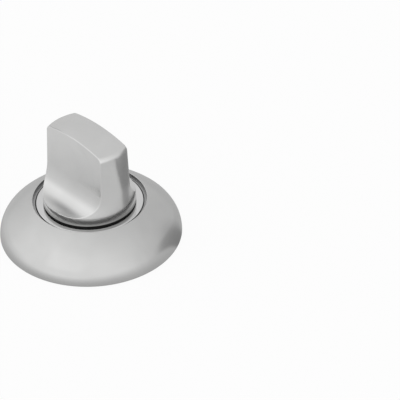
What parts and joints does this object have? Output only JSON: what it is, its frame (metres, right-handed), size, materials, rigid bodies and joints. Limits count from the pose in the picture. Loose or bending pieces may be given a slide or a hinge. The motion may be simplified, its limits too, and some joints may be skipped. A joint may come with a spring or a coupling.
{
  "type": "thumb turn",
  "caption": "Thumb turn for a bathroom door: a knob with a scooped blade on a round domed screw-on rose, with a square spindle behind.",
  "frame": {"origin": "on the turning axis, at the back of the rose where it meets the door", "axes": "+Z out of the door along the turning axis; +Y up the door, along the blade at rest; screw holes on a line along X"},
  "size_m": [0.052, 0.052, 0.0805],
  "materials": {
    "satin_nickel": "satin",
    "polished_chrome": "polished",
    "black_nylon": "matte",
    "white_nylon": "satin",
    "cast_zinc": "matte, as cast zinc alloy",
    "zinc_plated_steel": "satin, bright zinc plate",
    "spring_steel": "satin, dark oiled spring steel"
  },
  "bodies": {
    "rose": {"rose_cover": "satin_nickel", "insert_ring": "polished_chrome", "front_bush": "black_nylon", "sub_rose": "cast_zinc", "thrust_washer": "white_nylon", "back_plate": "zinc_plated_steel", "plate_screw_1": "zinc_plated_steel", "plate_screw_2": "zinc_plated_steel", "plate_screw_3": "zinc_plated_steel"},
    "turn": {"knob": "satin_nickel", "spindle": "zinc_plated_steel", "spindle_pin": "spring_steel", "spring_washer": "spring_steel", "stop_washer": "zinc_plated_steel", "retaining_ring": "spring_steel"}
  },
  "joints": [
    {"name": "knob_turn", "type": "hinge", "parent": "rose", "child": "turn", "pos_m": [0, 0, 0], "axis": [0, 0, -1], "range_deg": [0, 90]}
  ]
}
